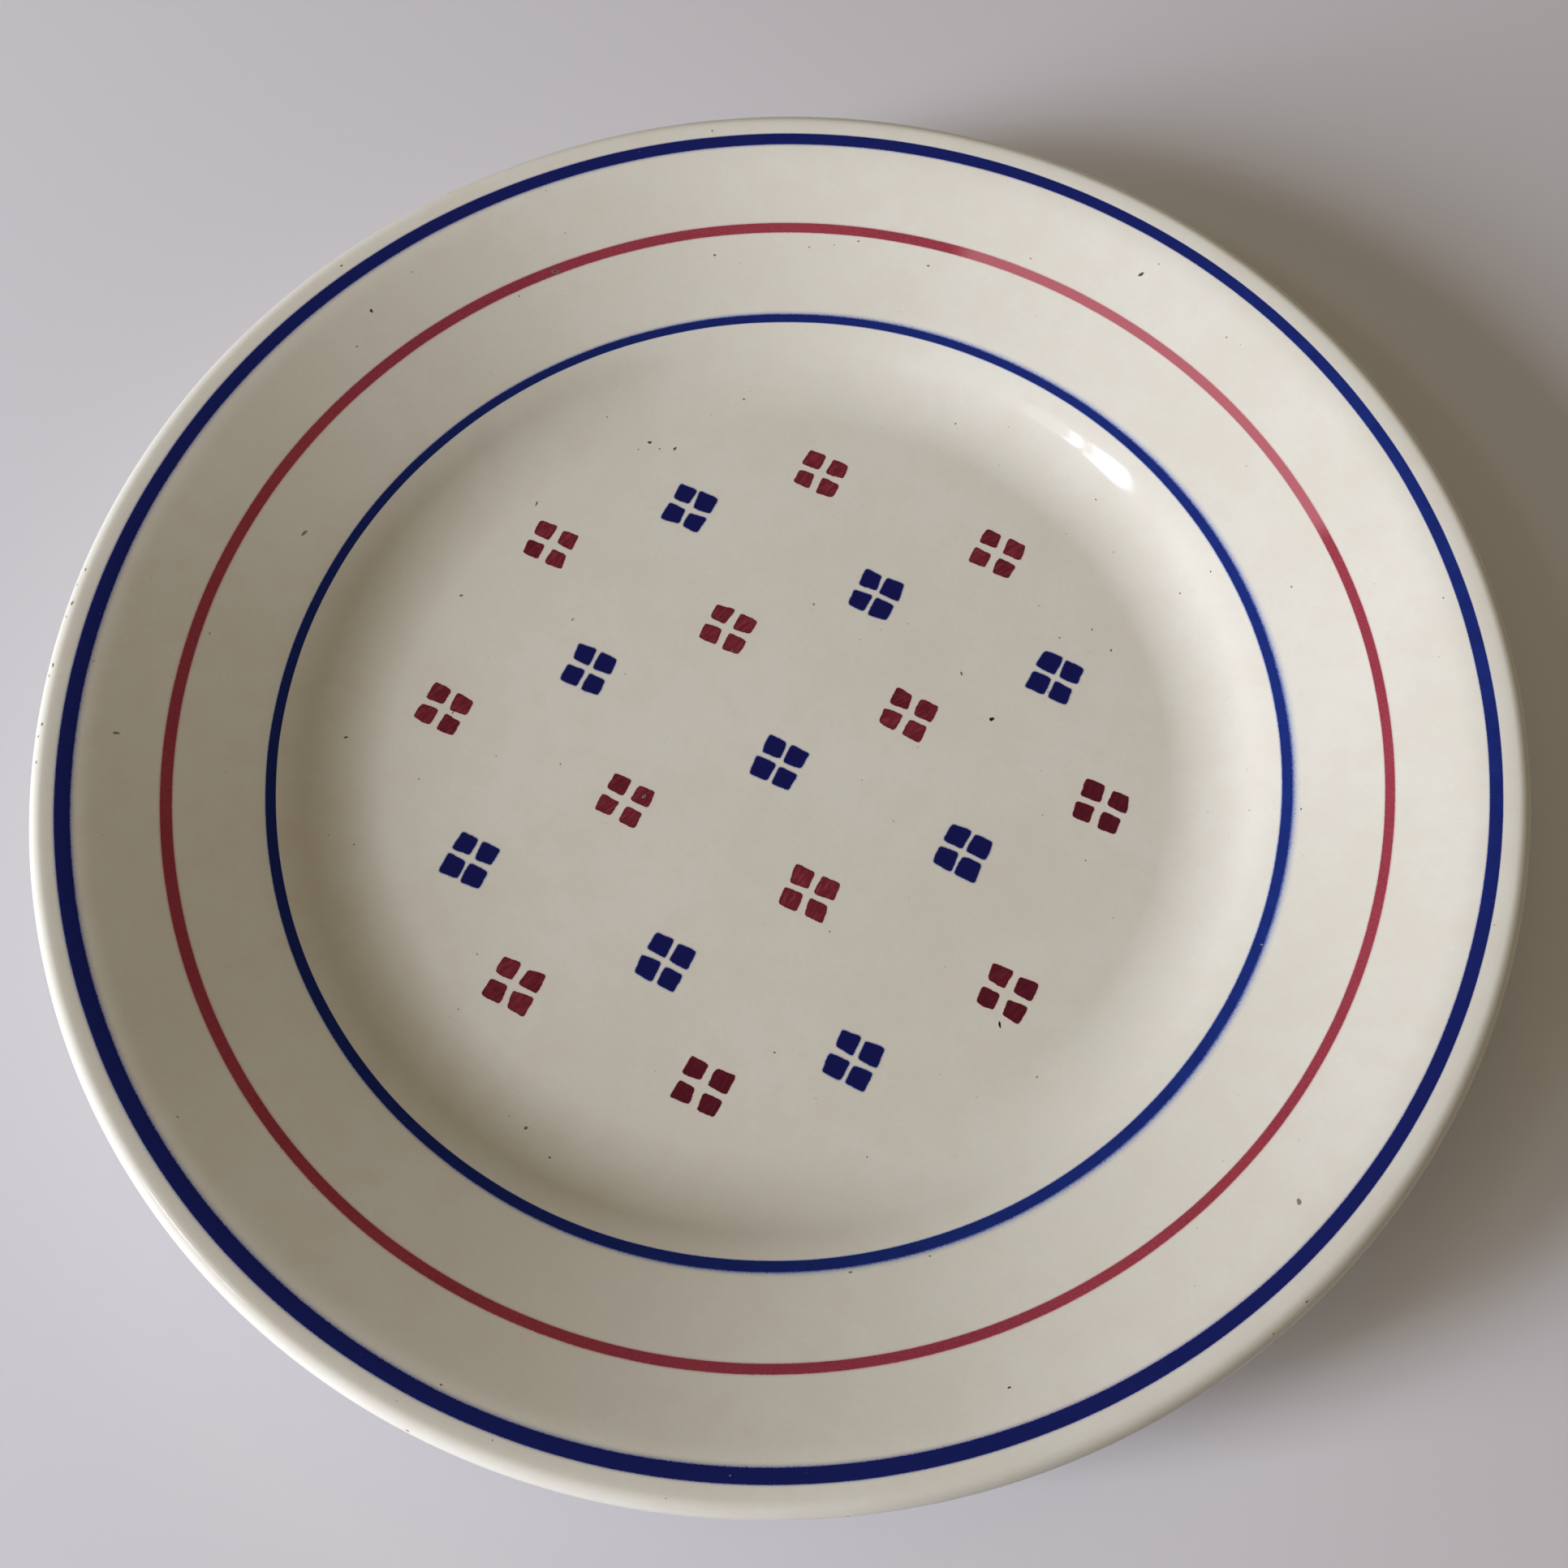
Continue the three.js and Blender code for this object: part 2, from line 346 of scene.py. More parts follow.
smooth = put(wheel, "GeometryNodeSetShadeSmooth", {"Geometry": soft_edges}, domain="FACE")
close_tree(wheel, smooth, ask["Material"])


def outline_mesh(path):
    """An outline of (radius, height) points in millimetres, as a chain in the XZ plane."""
    chain = bpy.data.meshes.new("outline")
    chain.from_pydata([(r * MM, 0.0, z * MM) for r, z in path],
                      [(i, i + 1) for i in range(len(path) - 1)], [])
    return chain


# %% [markdown]
# The finishes come next, because the shape trees hand them out. They are only named here, and
# their nodes are added further down, once the shapes that they lie on exist.

# %% Name the finishes
FINISHES = ("clear_glaze_over_cream_earthenware", "bare_fired_clay", "painted_cobalt_band",
            "crept_cobalt_band", "painted_crimson_band", "stencilled_cobalt", "stencilled_crimson",
            "iron_speck", "worn_lip")
finish = {}
for name in FINISHES:
    finish[name] = bpy.data.materials.new(name)
    finish[name].use_nodes = True
    finish[name].node_tree.nodes.clear()
GLAZE_FINISH = finish["clear_glaze_over_cream_earthenware"]

# %% [markdown]
# Three pieces are turned: the glaze as a closed skin around everything above the foot's land, the
# patch of glaze inside the foot ring, and the clay, which shows only on the land.

# %% Turn the glaze and the clay
SEGMENTS, HIDDEN_SEGMENTS = 384, 192
HIDDEN_STEP = 3
SWELL = 0.10 * MM
SWELL_SIZE = 34 * MM


def coat(path):
    """The outline of a skin of glaze. Its hidden side next to the clay has fewer points."""
    hidden = shifted(path[:1] + path[1:-1:HIDDEN_STEP] + path[-1:], -GLAZE)[::-1]
    return path + hidden if path[0][0] == 0 else hidden + path


def turn(name, outline, material, segments=SEGMENTS):
    return run_tree(wheel, name, outline_mesh(outline), {
        "Segments": segments, "Swell": SWELL, "Swell Size": SWELL_SIZE, "Material": material})


glaze_coat = turn("glaze_coat", coat(glazed), GLAZE_FINISH)
foot_glaze = turn("foot_recess_glaze", coat(recess), GLAZE_FINISH, HIDDEN_SEGMENTS)
clay_core = turn("clay_core", clay, finish["bare_fired_clay"], HIDDEN_SEGMENTS)

# %% [markdown]
# Rings and squares lie on the curved face, so each is made flat and then dropped onto it: a ray
# goes straight down from every point, and the point moves to where the ray lands, a hundredth of a
# millimetre or so proud. Both share this step, so it is a node group of its own.

# %% The group that lays things on the face
ABOVE = 100 * MM
landing, door = open_tree("land_on_the_face", [("Geometry", "G"), ("Face", "O"), ("Proud", "F")])
face_piece = put(landing, "GeometryNodeObjectInfo", {"Object": door.outputs["Face"]})
spot = parts_of(landing, put(landing, "GeometryNodeInputPosition"))
ray = put(landing, "GeometryNodeRaycast", {
    "Target Geometry": face_piece.outputs["Geometry"], "Ray Direction": (0.0, 0.0, -1.0),
    "Source Position": vector_of(landing, spot["X"], spot["Y"], ABOVE), "Ray Length": 2 * ABOVE})
proud = scaled(landing, ray.outputs["Hit Normal"], door.outputs["Proud"])
landed = vector_calc(landing, "ADD", ray.outputs["Hit Position"], proud)
laid = put(landing, "GeometryNodeSetPosition", {
    "Geometry": door.outputs["Geometry"], "Position": landed})
put(landing, "NodeGroupOutput", {"Geometry": laid})

# %% [markdown]
# A painted ring comes from a loaded brush held still while the plate spins. Its width swells where
# the brush was fuller, its edges waver, and the fired colour has crept into the glaze as a soft
# fringe. The tree lays a strip around the plate: paint in the middle, a fringe on each side. It
# writes three notes on every point for the finish to read: "inside_mm", how deep the point lies in
# the paint; "creep", how far out in the fringe, from 0 to 1; and "thin", how dry the brush was.

# %% The brush: around the ring
RING_NEEDS = ["Middle", "Off X", "Off Y", "Width", "Waver", "Fuller", "Fuller Side", "Fringe In",
              "Fringe Out", "Fringe Swing", "Fringe Side", "Thin Side", "Thin Reach", "Thin Blur",
              "Thin Least", "Seed", "Proud"]
brush, door = open_tree("painted_ring", [("Blank", "G")] + [(label, "F") for label in RING_NEEDS]
                        + [("Face", "O"), ("Material", "M")])
ask = door.outputs
RING_COLUMNS, RING_ROWS = 720, 17
ring_grid = put(brush, "GeometryNodeMeshGrid", {
    "Size X": 1.0, "Size Y": 1.0, "Vertices X": RING_COLUMNS + 1, "Vertices Y": RING_ROWS})
ring_cell = parts_of(brush, put(brush, "GeometryNodeInputPosition"))
ring_angle = calc(brush, "MULTIPLY", ring_cell["X"], -2 * math.pi)
ring_cos = calc(brush, "COSINE", ring_angle)
ring_sin = calc(brush, "SINE", ring_angle)
round_trip = vector_of(brush, ring_cos, ring_sin)


def swing(side, share):
    """One plus share times the cosine of the angle from a side."""
    away = calc(brush, "COSINE", calc(brush, "SUBTRACT", ring_angle, side))
    return calc(brush, "MULTIPLY_ADD", away, share, 1.0)


def wander(scale, detail, shift):
    """Noise around the ring, from -0.5 to 0.5, that closes on itself."""
    seed = calc(brush, "ADD", ask["Seed"], shift)
    noise = put(brush, "ShaderNodeTexNoise", {
        "Vector": round_trip, "W": seed, "Scale": scale, "Detail": detail}, noise_dimensions="4D")
    return calc(brush, "SUBTRACT", noise.outputs[0], 0.5)


# %% The brush: across the ring
PAINT_PART = 0.25   # how much of each half of the strip is paint; the rest is fringe
LOAD_WANDER = 0.16
half_width = calc(brush, "MULTIPLY", calc(brush, "MULTIPLY", ask["Width"], 0.5),
                       swing(ask["Fuller Side"], ask["Fuller"]))
load = calc(brush, "MULTIPLY_ADD", wander(2.5, 3.0, 5.0), LOAD_WANDER, 1.0)
half_paint = calc(brush, "MULTIPLY", half_width, load)
side_sign = calc(brush, "SIGN", ring_cell["Y"])
is_outer = calc(brush, "MULTIPLY_ADD", side_sign, 0.5, 0.5)
fringe = put(brush, "ShaderNodeMix", {
    "Factor": is_outer, "A": ask["Fringe In"], "B": ask["Fringe Out"]}, data_type="FLOAT")
fringe_here = calc(brush, "MULTIPLY", fringe, swing(ask["Fringe Side"], ask["Fringe Swing"]))
from_middle = calc(brush, "ABSOLUTE", ring_cell["Y"])
in_paint = calc(brush, "MULTIPLY", calc(brush, "MINIMUM", from_middle, PAINT_PART), 1 / PAINT_PART)
creep = remap(brush, from_middle, PAINT_PART, 0.5)
paint_part = calc(brush, "MULTIPLY", in_paint, half_paint)
off_middle = calc(brush, "MULTIPLY_ADD", creep, fringe_here, paint_part)
inside = calc(brush, "MULTIPLY", calc(brush, "SUBTRACT", half_paint, paint_part), 1 / MM)
waver = calc(brush, "MULTIPLY", wander(3.0, 3.0, 0.0), ask["Waver"])
off_signed = calc(brush, "MULTIPLY_ADD", off_middle, side_sign, waver)
ring_radius = calc(brush, "ADD", off_signed, ask["Middle"])
ring_place = vector_of(brush, calc(brush, "MULTIPLY_ADD", ring_radius, ring_cos, ask["Off X"]),
                       calc(brush, "MULTIPLY_ADD", ring_radius, ring_sin, ask["Off Y"]))

# %% The brush: notes for the finish, and laying the strip down
from_thin = calc(brush, "ARCCOSINE", calc(
    brush, "COSINE", calc(brush, "SUBTRACT", ring_angle, ask["Thin Side"])))
thin_start = calc(brush, "ADD", ask["Thin Reach"], ask["Thin Blur"])
thin = remap(brush, from_thin, thin_start, ask["Thin Reach"], ask["Thin Least"],
             interpolation_type="SMOOTHSTEP")
FRINGE_SINKS = -1.15   # the end of a fringe dips under the glaze, so that it has no visible step


def note(tree, geometry, name, value, data_type="FLOAT"):
    """Writes a named value on every point."""
    return put(tree, "GeometryNodeStoreNamedAttribute", {
        "Geometry": geometry, "Name": name, "Value": value}, data_type=data_type, domain="POINT")


def lay_down(tree, geometry, place, door):
    """Moves flat points to their place, drops them on the face and joins the seam."""
    flat = put(tree, "GeometryNodeSetPosition", {"Geometry": geometry, "Position": place})
    creep_now = put(tree, "GeometryNodeInputNamedAttribute", {"Name": "creep"}, data_type="FLOAT")
    sinking = calc(tree, "MULTIPLY_ADD", creep_now, FRINGE_SINKS, 1.0)
    laid = put(tree, "GeometryNodeGroup", node_tree=landing)
    for label, value in (("Geometry", flat), ("Face", door.outputs["Face"]),
                         ("Proud", calc(tree, "MULTIPLY", door.outputs["Proud"], sinking))):
        tree.links.new(first_output(value), laid.inputs[label])
    joined = put(tree, "GeometryNodeMergeByDistance", {"Geometry": laid, "Distance": WELD})
    return put(tree, "GeometryNodeSetShadeSmooth", {"Geometry": joined}, domain="FACE")


noted = ring_grid
for label, value in (("inside_mm", inside), ("creep", creep), ("thin", thin)):
    noted = note(brush, noted, label, value)
close_tree(brush, lay_down(brush, noted, ring_place, door), ask["Material"])

# %% [markdown]
# The outer blue ring is the widest, and fullest on the dark side of the plate. On the inner blue
# one the colour ran outwards in a pale haze. The red one has a stretch, an eighth of a turn long,
# where the brush had run nearly dry.

# %% Paint the rings
PROUD = 0.008 * MM
RING_WALL = 0.08 * MM
blank = bpy.data.meshes.new("blank")
blank.from_pydata([(0, 0, 0)], [], [])
RING_SIZES = {   # lengths in mm, sides in degrees
    "outer_blue_ring": {"Middle": 114.25, "Width": 2.02, "Waver": 0.25, "Fringe In": 0.8,
                        "Fringe Out": 0.45, "Fuller": 0.12, "Fuller Side": 240, "Fringe Swing": 0.6,
                        "Fringe Side": 225, "Thin Side": 45, "Thin Reach": 10, "Thin Blur": 40,
                        "Thin Least": 0.0, "Seed": 3.0},
    "red_ring": {"Middle": 99.7, "Off X": 0.1, "Off Y": -0.3, "Width": 1.48, "Waver": 0.2,
                 "Fringe In": 0.42, "Fringe Out": 0.48, "Fuller": 0.1, "Fuller Side": 195,
                 "Fringe Swing": 0.2, "Fringe Side": 225, "Thin Side": 73.5, "Thin Reach": 23,
                 "Thin Blur": 3, "Thin Least": 0.0, "Seed": 11.0},
    "inner_blue_ring": {"Middle": 84.8, "Off X": 0.25, "Off Y": -0.2, "Width": 1.36, "Waver": 0.22,
                        "Fringe In": 0.3, "Fringe Out": 1.0, "Fuller": 0.18, "Fuller Side": 292,
                        "Fringe Swing": 0.65, "Fringe Side": 20, "Thin Side": 0, "Thin Reach": 35,
                        "Thin Blur": 60, "Thin Least": 0.45, "Seed": 23.0},
}
RING_FINISHES = {"outer_blue_ring": "painted_cobalt_band", "red_ring": "painted_crimson_band",
                 "inner_blue_ring": "crept_cobalt_band"}
RING_LENGTHS = ("Middle", "Off X", "Off Y", "Width", "Waver", "Fringe In", "Fringe Out")
RING_ANGLES = ("Fuller Side", "Fringe Side", "Thin Side", "Thin Reach", "Thin Blur")


def in_scene_units(sizes, lengths, angles):
    """Sizes with their lengths in metres and their angles in radians."""
    return {k: v * MM if k in lengths else math.radians(v) if k in angles else v
            for k, v in sizes.items()}


rings = {}
for name, sizes in RING_SIZES.items():
    rings[name] = run_tree(brush, name, blank, {
        **in_scene_units(sizes, RING_LENGTHS, RING_ANGLES), "Face": glaze_coat, "Proud": PROUD,
        "Material": finish[RING_FINISHES[name]]}, shell=RING_WALL)

# %% [markdown]
# Each stencilled motif is four small squares, two by two, dabbed through a cut sheet. The colour
# creeps under the sheet, so no two squares are alike: sides lean, corners are clipped, edges are
# ragged, and a faint fringe surrounds them. Each square is a disc of rings of points. Its outline
# is a squared circle that keystone and lean pull out of true, with noise for the ragged edge.

# %% The stencil: four seats and a disc for each
SQUARE_NEEDS = ["Step X", "Step Y", "Width", "Height", "Squareness", "Ragged", "Clipped",
                "Out of True", "Lean", "Turn", "Fringe", "Stroke", "Tone", "Seed", "Proud"]
dab, door = open_tree("four_stencilled_squares", [
    ("Blank", "G"), ("Middle", "V"), *((label, "F") for label in SQUARE_NEEDS), ("Face", "O"),
    ("Material", "M")])
ask = door.outputs
SQUARE_COLUMNS, SQUARE_ROWS = 88, 12
PAINT_ROWS = 8
PAINT_ROWS_SHARE = PAINT_ROWS / (SQUARE_ROWS - 1)
place_now = put(dab, "GeometryNodeInputPosition")
seats = put(dab, "GeometryNodeMeshGrid", {
    "Size X": ask["Step X"], "Size Y": ask["Step Y"], "Vertices X": 2, "Vertices Y": 2})
numbered = note(dab, seats, "square_number", put(dab, "GeometryNodeInputIndex"))
seated = note(dab, numbered, "square_seat", place_now, "FLOAT_VECTOR")
patch = put(dab, "GeometryNodeMeshGrid", {
    "Size X": 1.0, "Size Y": 1.0, "Vertices X": SQUARE_COLUMNS + 1, "Vertices Y": SQUARE_ROWS})
celled = note(dab, patch, "square_cell", place_now, "FLOAT_VECTOR")
four = put(dab, "GeometryNodeInstanceOnPoints", {"Points": seated, "Instance": celled})
four_real = put(dab, "GeometryNodeRealizeInstances", {"Geometry": four})


def read(name, data_type="FLOAT"):
    return put(dab, "GeometryNodeInputNamedAttribute", {"Name": name}, data_type=data_type)


SEED_STEP = 3.7
sq_cell = parts_of(dab, read("square_cell", "FLOAT_VECTOR"))
sq_angle = calc(dab, "MULTIPLY", sq_cell["X"], -2 * math.pi)
sq_cos = calc(dab, "COSINE", sq_angle)
sq_sin = calc(dab, "SINE", sq_angle)
own_wave = vector_of(dab, sq_cos, sq_sin)
own_seed = calc(dab, "MULTIPLY_ADD", read("square_number"), SEED_STEP, ask["Seed"])


def own_random(shift):
    """A random number from 0 to 1 and a random colour for each square."""
    return put(dab, "ShaderNodeTexWhiteNoise", {
        "W": calc(dab, "ADD", own_seed, shift)}, noise_dimensions="1D")


def own_noise(scale, detail, shift):
    noise = put(dab, "ShaderNodeTexNoise", {
        "Vector": own_wave, "W": calc(dab, "ADD", own_seed, shift), "Scale": scale,
        "Detail": detail}, noise_dimensions="4D")
    return calc(dab, "SUBTRACT", noise.outputs[0], 0.5)


# %% The stencil: the outline of a square
def share_power(direction, size):
    half = calc(dab, "MULTIPLY", size, 0.5)
    ratio = calc(dab, "ABSOLUTE", calc(dab, "DIVIDE", direction, half))
    return calc(dab, "POWER", ratio, ask["Squareness"])


SIZE_SPREAD = 0.12
both = calc(dab, "ADD", share_power(sq_cos, ask["Width"]), share_power(sq_sin, ask["Height"]))
plain_edge = calc(dab, "POWER", both, calc(dab, "DIVIDE", -1.0, ask["Squareness"]))
size_mix = calc(dab, "MULTIPLY_ADD", own_random(0.0), SIZE_SPREAD, 1 - SIZE_SPREAD / 2)
sized_edge = calc(dab, "MULTIPLY", plain_edge, size_mix)
clipped_edge = calc(dab, "MULTIPLY_ADD", own_noise(1.2, 0.0, 9.0), ask["Clipped"], sized_edge)
paint_edge = calc(dab, "MULTIPLY_ADD", own_noise(6.5, 3.0, 0.0), ask["Ragged"], clipped_edge)
sq_out = calc(dab, "ADD", sq_cell["Y"], 0.5)
in_share = remap(dab, sq_out, 0.0, PAINT_ROWS_SHARE)
sq_creep = remap(dab, sq_out, PAINT_ROWS_SHARE, 1.0)
in_reach = calc(dab, "MULTIPLY", in_share, paint_edge)
reach = calc(dab, "MULTIPLY_ADD", sq_creep, ask["Fringe"], in_reach)
sq_inside = calc(dab, "MULTIPLY", calc(dab, "SUBTRACT", paint_edge, in_reach), 1 / MM)

# %% The stencil: pull it out of true, seat it and lay it down
sq_x = calc(dab, "MULTIPLY", reach, sq_cos)
sq_y = calc(dab, "MULTIPLY", reach, sq_sin)
corner_pull = calc(dab, "DIVIDE", calc(dab, "MULTIPLY", sq_x, sq_y), ask["Width"])
pulls = put(dab, "FunctionNodeSeparateColor", {"Color": own_random(21.0).outputs["Color"]})


def pulled(base, other, channel, lean):
    """A coordinate with its random share of keystone and lean."""
    amount = calc(dab, "MULTIPLY", calc(
        dab, "SUBTRACT", pulls.outputs[channel], 0.5), ask["Out of True"])
    keystone = calc(dab, "MULTIPLY_ADD", corner_pull, amount, base)
    return calc(dab, "MULTIPLY_ADD", other, lean, keystone)


LEAN_SPREAD, LEAN_BACK, TONE_SPREAD = 0.16, 0.03, 0.5
own_lean = calc(dab, "SUBTRACT", pulls.outputs["Blue"], 0.5)
lean_x = calc(dab, "MULTIPLY_ADD", own_lean, LEAN_SPREAD, ask["Lean"])
sq_local = vector_of(dab, pulled(sq_x, sq_y, "Red", lean_x), pulled(sq_y, sq_x, "Green", LEAN_BACK))
sq_seated = vector_calc(dab, "ADD", sq_local, read("square_seat", "FLOAT_VECTOR"))
sq_turned = put(dab, "ShaderNodeVectorRotate", {
    "Vector": sq_seated, "Angle": ask["Turn"]}, rotation_type="Z_AXIS")
sq_moved = vector_calc(dab, "ADD", sq_turned, ask["Middle"])
own_tone = calc(dab, "MULTIPLY_ADD", own_random(33.0), TONE_SPREAD, ask["Tone"])
sq_noted = four_real
for label, value in (("inside_mm", sq_inside), ("creep", sq_creep), ("tone", own_tone),
                     ("stroke", ask["Stroke"])):
    sq_noted = note(dab, sq_noted, label, value)
close_tree(dab, lay_down(dab, sq_noted, sq_moved, door), ask["Material"])

# %% [markdown]
# Nine blue motifs stand in a square of three by three, and twelve red ones between and around
# them. Their middles come from the measured nodes. Each has its own small turn, its own seed and
# its own direction of the brush. Three red ones took a heavier load and fired to maroon.

# %% Dab the motifs
BLUE_SQUARE = {"Step X": 4.2, "Step Y": 4.45, "Width": 3.42, "Height": 3.36, "Fringe": 0.5,
               "Ragged": 0.22, "Clipped": 0.3, "Squareness": 7.5, "Lean": -0.04, "Out of True": 0.3}
RED_SQUARE = {"Step X": 4.7, "Step Y": 4.3, "Width": 3.32, "Height": 3.14, "Fringe": 0.3,
              "Ragged": 0.3, "Clipped": 0.35, "Squareness": 7.0, "Lean": -0.04, "Out of True": 0.4}
SQUARE_LENGTHS = ("Step X", "Step Y", "Width", "Height", "Fringe", "Ragged", "Clipped")
HEAVY = {"red_squares_r2_c4": 0.55, "red_squares_r3_c4": 0.4, "red_squares_r4_c3": 0.55}
motifs = []
for number, node in enumerate(sorted(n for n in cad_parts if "squares" in n)):
    low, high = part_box(node)
    blue = node.startswith("blue")
    motif = run_tree(dab, node.replace("squares", "motif"), blank, {
        **in_scene_units(BLUE_SQUARE if blue else RED_SQUARE, SQUARE_LENGTHS, ()),
        "Middle": ((low[0] + high[0]) / 2, (low[1] + high[1]) / 2, 0.0),
        "Turn": math.radians(0.7 + 1.4 * math.sin(2.3 * number + 0.4)),
        "Stroke": math.radians(72 + 16 * math.sin(4.1 * number + 1.0)),
        "Tone": HEAVY.get(node, 0.0), "Seed": 5.0 + 17.3 * number, "Face": glaze_coat,
        "Proud": PROUD, "Material": finish["stencilled_cobalt" if blue else "stencilled_crimson"]},
        shell=RING_WALL)
    motifs.append((motif, node))

# %% [markdown]
# Clay and glaze hold grains of iron that burn to brown and grey specks, most of them a few tenths
# of a millimetre across. Geometry Nodes scatter these over the face with a fixed seed, each a
# flattened bead nearly sunk in the glaze. Two notes go with it: "burn", its own depth of colour,
# and "heart", which is 1 at its middle and 0 at its rim.

# %% Scatter the specks
SPECKS_PER_M2 = 4200.0
MOSTLY_SMALL = 2.5   # the power that makes most specks small and pale, and a few large and dark
scatter, door = open_tree("iron_specks", [
    ("Spots", "G"), ("Face", "O"), ("How Many", "F"), ("Seed", "I"), ("Smallest", "F"),
    ("Largest", "F"), ("Flatness", "F"), ("Material", "M")])
ask = door.outputs
ground = put(scatter, "GeometryNodeObjectInfo", {"Object": ask["Face"]})
up = parts_of(scatter, put(scatter, "GeometryNodeInputNormal"))["Z"]
faces_up = put(scatter, "FunctionNodeCompare", {"A": up, "B": 0.3}, operation="GREATER_THAN")
strewn = put(scatter, "GeometryNodeDistributePointsOnFaces", {
    "Mesh": ground.outputs["Geometry"], "Selection": faces_up, "Density": ask["How Many"],
    "Seed": ask["Seed"]}, distribute_method="RANDOM")
bead_shape = put(scatter, "GeometryNodeMeshIcoSphere", {"Radius": 1.0, "Subdivisions": 2})
bead_flat = vector_calc(scatter, "MULTIPLY", put(scatter, "GeometryNodeInputPosition"), (1.0, 1.0, 0.0))
bead_out = vector_calc(scatter, "LENGTH", bead_flat).outputs["Value"]
bead = note(scatter, bead_shape, "heart", calc(scatter, "SUBTRACT", 1.0, bead_out))


def random_number(seed_shift):
    return put(scatter, "FunctionNodeRandomValue", {
        "Min": 0.0, "Max": 1.0, "Seed": calc(scatter, "ADD", ask["Seed"], seed_shift)},
        data_type="FLOAT").outputs[1]


burnt = note(scatter, strewn, "burn",
             calc(scatter, "POWER", random_number(1.0), MOSTLY_SMALL))
bead_size = remap(scatter, calc(scatter, "POWER", random_number(2.0), MOSTLY_SMALL), 0.0, 1.0,
                  ask["Smallest"], ask["Largest"])
stretch = vector_of(scatter, calc(scatter, "ADD", random_number(3.0), 0.7), 0.9, ask["Flatness"])
beads = put(scatter, "GeometryNodeInstanceOnPoints", {
    "Points": burnt, "Instance": bead, "Rotation": strewn.outputs["Rotation"],
    "Scale": scaled(scatter, stretch, bead_size)})
close_tree(scatter, beads, ask["Material"])
specks = run_tree(scatter, "iron_specks", blank, {
    "Face": glaze_coat, "How Many": SPECKS_PER_M2, "Seed": 4, "Smallest": 0.07 * MM,
    "Largest": 0.26 * MM, "Flatness": 0.12, "Material": finish["iron_speck"]})

# %% [markdown]
# The bigger specks are few enough to be put one by one, each a low dome of uneven outline: X, Y
# and radius in millimetres, stretch, turn in degrees, and burn from 0 to 1.

# %% Place the bigger specks
BIG_SPECKS = [
    (29.6, 23.6, 0.50, 1.1, 20, 1.0), (54.1, -23.9, 0.42, 1.5, 125, 1.0),
    (17.6, 105.9, 0.46, 1.4, 60, 0.75), (-50.3, 44.3, 0.42, 1.3, 10, 0.8),
    (-45.5, 45.3, 0.38, 1.2, 70, 0.8), (-48.0, 44.0, 0.2, 1.0, 0, 0.5),
    (-101.4, 36.5, 0.38, 1.1, 0, 0.8), (-78.2, 61.0, 0.50, 1.6, 30, 0.7),
    (-67.4, -31.4, 0.32, 1.3, 50, 0.6), (21.2, 28.9, 0.34, 1.3, 140, 0.45),
    (-4.9, -74.3, 0.36, 1.2, 80, 0.45), (-64.7, 1.5, 0.33, 1.2, 15, 0.45),
    (-62.3, 23.7, 0.36, 1.5, 100, 0.45), (-94.1, -51.8, 0.42, 1.5, 40, 0.3),
    (104.2, -31.6, 0.5, 1.4, 110, 0.25), (-91.2, -4.3, 0.5, 1.6, 75, 0.2),
    (-18.5, 94.0, 0.26, 1.2, 33, 0.3),
]
DOME_AROUND, DOME_UP = 28, 5
DOME_HEIGHT = 0.035
SUNK = 0.012


def uneven_dome(x, y, radius, stretch, turn, salt):
    """Points and faces of a closed low dome, flat below, of uneven outline."""
    points, faces = [], []
    spin = math.radians(turn)
    for up_step in range(DOME_UP):
        up_angle = math.pi / 2 * up_step / DOME_UP
        for k in range(DOME_AROUND):
            a = 2 * math.pi * k / DOME_AROUND
            wave = (1 + 0.14 * math.sin(2 * a + salt) + 0.09 * math.sin(3 * a + 2.1 * salt)
                    + 0.06 * math.sin(7 * a + salt))
            size = radius * wave * math.cos(up_angle)
            u, v = size * stretch * math.cos(a), size * math.sin(a) / stretch
            points.append((x + u * math.cos(spin) - v * math.sin(spin),
                           y + u * math.sin(spin) + v * math.cos(spin),
                           DOME_HEIGHT * math.sin(up_angle)))
    for start in range(0, (DOME_UP - 1) * DOME_AROUND, DOME_AROUND):
        for k in range(DOME_AROUND):
            a, b = start + k, start + (k + 1) % DOME_AROUND
            faces.append((a, b, b + DOME_AROUND, a + DOME_AROUND))
    faces.append([(DOME_UP - 1) * DOME_AROUND + k for k in range(DOME_AROUND)])
    faces.append(list(range(DOME_AROUND))[::-1])
    return points, faces


def face_height(x, y):
    """The height of the made glaze under a point in millimetres."""
    _, spot, _, _ = glaze_coat.ray_cast(Vector((x * MM, y * MM, ABOVE)), Vector((0, 0, -1)))
    return spot.z / MM


def place_domes(name, spots, material):
    """One object of uneven domes that follow the face, with their notes."""
    points, faces, burns, hearts = [], [], [], []
    for number, (*sizes, burn) in enumerate(spots):
        dome, dome_faces = uneven_dome(*sizes, 1.7 * number)
        faces += [[len(points) + i for i in face] for face in dome_faces]
        points += [(px * MM, py * MM, (face_height(px, py) + pz - SUNK) * MM) for px, py, pz in dome]
        burns += [burn] * len(dome)
        hearts += [1 - math.cos(math.pi / 2 * (i // DOME_AROUND) / DOME_UP) for i in range(len(dome))]
    mesh = bpy.data.meshes.new(name)
    mesh.from_pydata(points, [], faces)
    mesh.attributes.new("burn", "FLOAT", "POINT").data.foreach_set("value", burns)
    mesh.attributes.new("heart", "FLOAT", "POINT").data.foreach_set("value", hearts)
    mesh.shade_smooth()
    mesh.materials.append(material)
    print(name, len(spots))
    return show(name, mesh)


